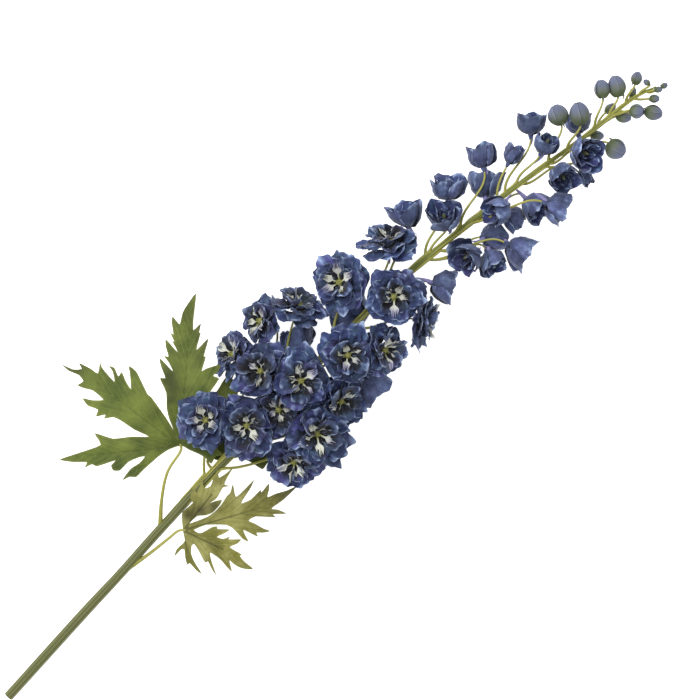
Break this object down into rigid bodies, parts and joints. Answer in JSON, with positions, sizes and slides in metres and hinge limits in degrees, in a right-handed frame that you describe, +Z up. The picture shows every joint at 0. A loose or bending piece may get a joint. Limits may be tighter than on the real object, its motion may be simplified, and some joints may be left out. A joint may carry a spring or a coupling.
{
  "type": "delphinium flower spike",
  "caption": "Dark blue double delphinium spike lying down, with open flowers with pale centres, half-open cups, buds at the tip and deeply toothed leaves on a cut stem.",
  "frame": {"origin": "on the surface that the spike lies on, under the middle of its bounding box", "axes": "+X along the spike from the cut end to the tip, +Z up from the surface, +Y to the spike's left when looking down on it with the tip ahead"},
  "size_m": [0.9072, 0.2836, 0.0821],
  "materials": {
    "petal": "matt dusty navy cloth, slate blue at the edges with violet tints",
    "eye": "matt cream cloth round a lime green knob",
    "leaf": "matt printed green cloth, paler and khaki underneath",
    "stem": "satin olive green, yellower toward the tip"
  },
  "bodies": {
    "root": {"flower_01": "petal", "flower_02": "petal", "flower_03": "petal", "flower_04": "petal", "flower_05": "petal", "flower_06": "petal", "flower_07": "petal", "flower_08": "petal", "flower_09": "petal", "flower_10": "petal", "flower_11": "petal", "flower_12": "petal", "flower_13": "petal", "flower_14": "petal", "flower_15": "petal", "flower_16": "petal", "flower_17": "petal", "cup_01": "petal", "cup_02": "petal", "cup_03": "petal", "cup_04": "petal", "cup_05": "petal", "cup_06": "petal", "cup_07": "petal", "cup_08": "petal", "cup_09": "petal", "cup_10": "petal", "cup_11": "petal", "cup_12": "petal", "cup_13": "petal", "cup_14": "petal", "cup_15": "petal", "cup_16": "petal", "cup_17": "petal", "cup_18": "petal", "cup_19": "petal", "cup_20": "petal", "cup_21": "petal", "cup_22": "petal", "eye_01": "eye", "eye_02": "eye", "eye_03": "eye", "eye_04": "eye", "eye_05": "eye", "eye_06": "eye", "eye_07": "eye", "eye_08": "eye", "eye_09": "eye", "eye_10": "eye", "eye_11": "eye", "eye_12": "eye", "eye_13": "eye", "eye_14": "eye", "eye_15": "eye", "eye_16": "eye", "eye_17": "eye", "leaf_1": "leaf", "leaf_2": "leaf", "leaf_3": "leaf", "stem": "stem"}
  },
  "joints": []
}
